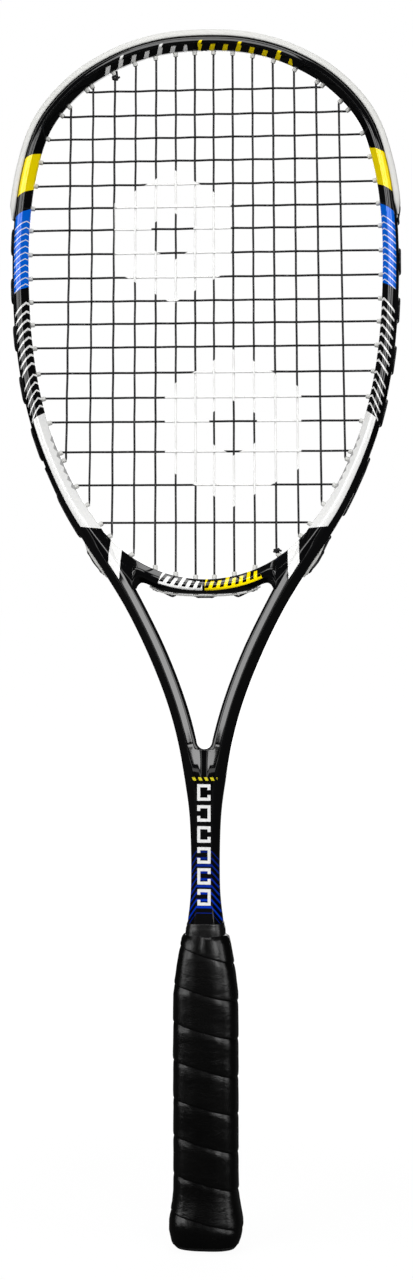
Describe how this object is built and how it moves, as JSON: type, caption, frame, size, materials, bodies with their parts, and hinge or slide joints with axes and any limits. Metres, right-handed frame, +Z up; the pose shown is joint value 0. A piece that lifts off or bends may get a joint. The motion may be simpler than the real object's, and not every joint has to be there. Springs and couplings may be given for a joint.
{
  "type": "squash racket",
  "caption": "Squash racket with an open throat, a narrow shaft, a strung head with a head guard, and a spirally wrapped grip on a flared handle.",
  "frame": {"origin": "middle of the flat butt end", "axes": "+Z up the shaft to the head, string bed in the XZ plane, front of the racket towards -Y"},
  "size_m": [0.2231, 0.0364, 0.686],
  "materials": {
    "black_lacquer": "lacquered carbon composite",
    "light_grey_nylon": "moulded nylon, satin",
    "charcoal_string": "coated multifilament",
    "pallet_foam": "moulded rigid foam",
    "cap_plastic": "moulded, fine grain",
    "staple_steel": "galvanised wire",
    "black_grip": "cushioned polyurethane band",
    "finishing_tape": "adhesive tape"
  },
  "bodies": {
    "root": {"frame": "black_lacquer", "throat_bridge": "black_lacquer", "bumper_guard": "light_grey_nylon", "left_grommet_strip": "light_grey_nylon", "right_grommet_strip": "light_grey_nylon", "left_shoulder_grommet": "light_grey_nylon", "right_shoulder_grommet": "light_grey_nylon", "bridge_grommet_strip": "light_grey_nylon", "string": "charcoal_string", "handle_pallet": "pallet_foam", "butt_cap": "cap_plastic", "left_cap_staple": "staple_steel", "right_cap_staple": "staple_steel", "grip_wrap": "black_grip", "finishing_tape": "finishing_tape"}
  },
  "joints": []
}
